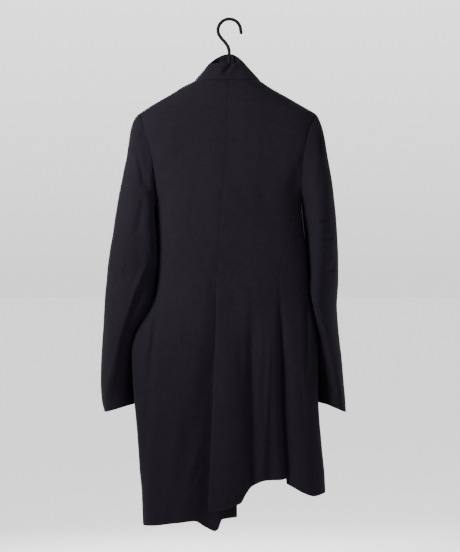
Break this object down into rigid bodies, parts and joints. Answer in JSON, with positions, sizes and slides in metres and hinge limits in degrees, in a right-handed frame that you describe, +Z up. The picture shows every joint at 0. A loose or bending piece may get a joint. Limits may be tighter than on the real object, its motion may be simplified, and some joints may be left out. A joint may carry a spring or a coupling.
{
  "type": "stand-collar jacket on a hanger",
  "caption": "Long asymmetric stand-collar jacket with two-piece sleeves, a back vent and an uneven hem, hanging on a plain hanger with a round hook.",
  "frame": {"origin": "inside top of the hanger's hook, where it rests on what holds it up", "axes": "+Z up, -Y towards the back of the jacket, +X towards the wearer's right"},
  "size_m": [0.5418, 0.1604, 1.1218],
  "materials": {
    "wool_body": "matte woven wool",
    "wool_collar": "matte woven wool",
    "wool_sleeve": "matte woven wool",
    "hanger_plastic": "smooth black plastic",
    "hanger_hook": "satin black"
  },
  "bodies": {
    "root": {"back_left": "wool_body", "back_right_centre": "wool_body", "back_right_side": "wool_body", "front_left": "wool_body", "front_right": "wool_body", "collar_stand": "wool_collar", "sleeve_left_upper": "wool_sleeve", "sleeve_left_under": "wool_sleeve", "sleeve_right_upper": "wool_sleeve", "sleeve_right_under": "wool_sleeve", "hanger_arms": "hanger_plastic", "hanger_hook": "hanger_hook"}
  },
  "joints": []
}
